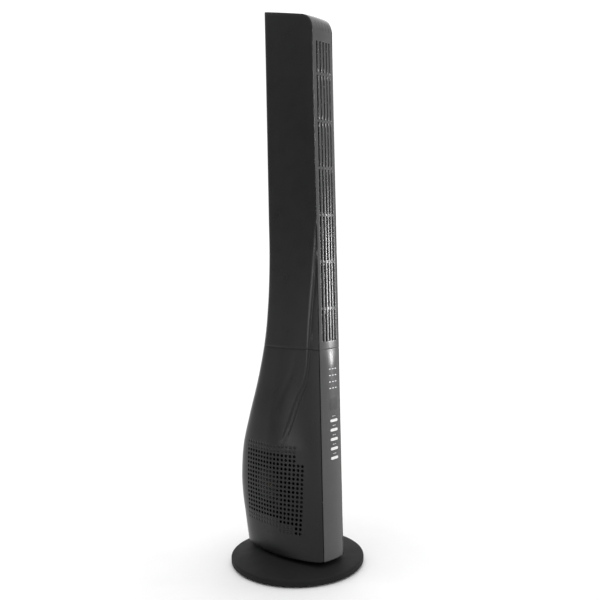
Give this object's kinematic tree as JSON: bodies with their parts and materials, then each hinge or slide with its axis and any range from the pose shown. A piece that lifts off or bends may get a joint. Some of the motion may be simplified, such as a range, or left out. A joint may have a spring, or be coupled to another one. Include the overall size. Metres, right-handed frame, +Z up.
{
  "type": "tower fan",
  "caption": "Tall slim tower fan: swinging tower on a round base, side air intakes, slotted front outlet, push-button front panel.",
  "frame": {"origin": "centre of the round base on the floor, under the feet", "axes": "+Z up along the tower, -Y is the front that the air leaves from, +X is the fan's left side (the viewer's right when facing the grille)"},
  "size_m": [0.292, 0.292, 1.2117],
  "materials": {
    "casing_black": "satin moulded plastic",
    "grille_grey": "satin painted plastic",
    "key_white": "matt",
    "lens_clear": "frosted",
    "lens_dark": "smoked",
    "inner_plastic": "matt",
    "pale_plastic": "matt acetal",
    "steel": "zinc plated",
    "ballast": "raw",
    "rubber": "matt",
    "board_green": "solder mask",
    "part_black": "matt",
    "part_blue": "matt",
    "bronze": "sintered",
    "copper": "enamelled wire",
    "foam": "open foam"
  },
  "bodies": {
    "base": {"base_disc": "casing_black", "base_plate": "inner_plastic", "ballast_ring": "ballast", "rubber_feet": "rubber", "base_screws": "steel", "pivot_post": "steel", "post_screws": "steel", "thrust_washer": "pale_plastic", "swing_gear": "pale_plastic", "retaining_clip": "steel", "cord_gland": "rubber"},
    "tower": {"tower_floor": "inner_plastic", "floor_screws": "steel", "pivot_bush": "pale_plastic", "swing_motor": "steel", "lower_casing_left": "casing_black", "lower_casing_right": "casing_black", "upper_casing": "casing_black", "casing_screws": "steel", "handle_cup": "casing_black", "front_grille": "grille_grey", "louvre_vanes": "inner_plastic", "duct_seal": "foam", "control_fascia": "grille_grey", "indicator_lenses": "lens_clear", "remote_window": "lens_dark", "control_board": "board_green", "button_switches": "part_black", "indicator_leds": "lens_clear", "remote_receiver": "part_black", "board_screws": "steel", "air_housing_left": "inner_plastic", "air_housing_right": "inner_plastic", "inlet_rings": "inner_plastic", "blower_stand": "steel", "motor_bracket": "steel", "motor_can": "steel", "motor_bushes": "bronze", "stator_core": "ballast", "stator_coils": "copper", "power_board": "board_green", "run_capacitor": "pale_plastic", "relay_blocks": "part_blue"},
    "pinion": {"swing_pinion": "pale_plastic"},
    "blower_rotor": {"rotor_core": "ballast", "motor_shaft": "steel", "blower_wheel": "inner_plastic", "wheel_clip": "steel"},
    "power_button_cap": {"power_button": "key_white"},
    "speed_button_cap": {"speed_button": "key_white"},
    "swing_button_cap": {"swing_button": "key_white"},
    "timer_button_cap": {"timer_button": "key_white"},
    "mode_button_cap": {"mode_button": "key_white"}
  },
  "joints": [
    {"name": "tower_swing", "type": "hinge", "parent": "base", "child": "tower", "pos_m": [0, 0, 0.034], "axis": [0, 0, 1], "range_deg": [-40, 40]},
    {"name": "pinion_spin", "type": "hinge", "parent": "tower", "child": "pinion", "pos_m": [0, 0.044, 0.03], "axis": [0, 0, 1], "range_deg": [-180, 180]},
    {"name": "blower_spin", "type": "hinge", "parent": "tower", "child": "blower_rotor", "pos_m": [0, 0.022, 0.178], "axis": [1, 0, 0], "continuous": true},
    {"name": "power_button_press", "type": "slide", "parent": "tower", "child": "power_button_cap", "axis": [0, 1, 0], "range_m": [0, 0.0006], "stiffness_N_per_m": 400, "springref_m": -0.001},
    {"name": "speed_button_press", "type": "slide", "parent": "tower", "child": "speed_button_cap", "axis": [0, 1, 0], "range_m": [0, 0.0006], "stiffness_N_per_m": 400, "springref_m": -0.001},
    {"name": "swing_button_press", "type": "slide", "parent": "tower", "child": "swing_button_cap", "axis": [0, 1, 0], "range_m": [0, 0.0006], "stiffness_N_per_m": 400, "springref_m": -0.001},
    {"name": "timer_button_press", "type": "slide", "parent": "tower", "child": "timer_button_cap", "axis": [0, 1, 0], "range_m": [0, 0.0006], "stiffness_N_per_m": 400, "springref_m": -0.001},
    {"name": "mode_button_press", "type": "slide", "parent": "tower", "child": "mode_button_cap", "axis": [0, 1, 0], "range_m": [0, 0.0006], "stiffness_N_per_m": 400, "springref_m": -0.001}
  ],
  "couplings": [
    {"joint": "pinion_spin", "follows": "tower_swing", "ratio": 4.5}
  ]
}
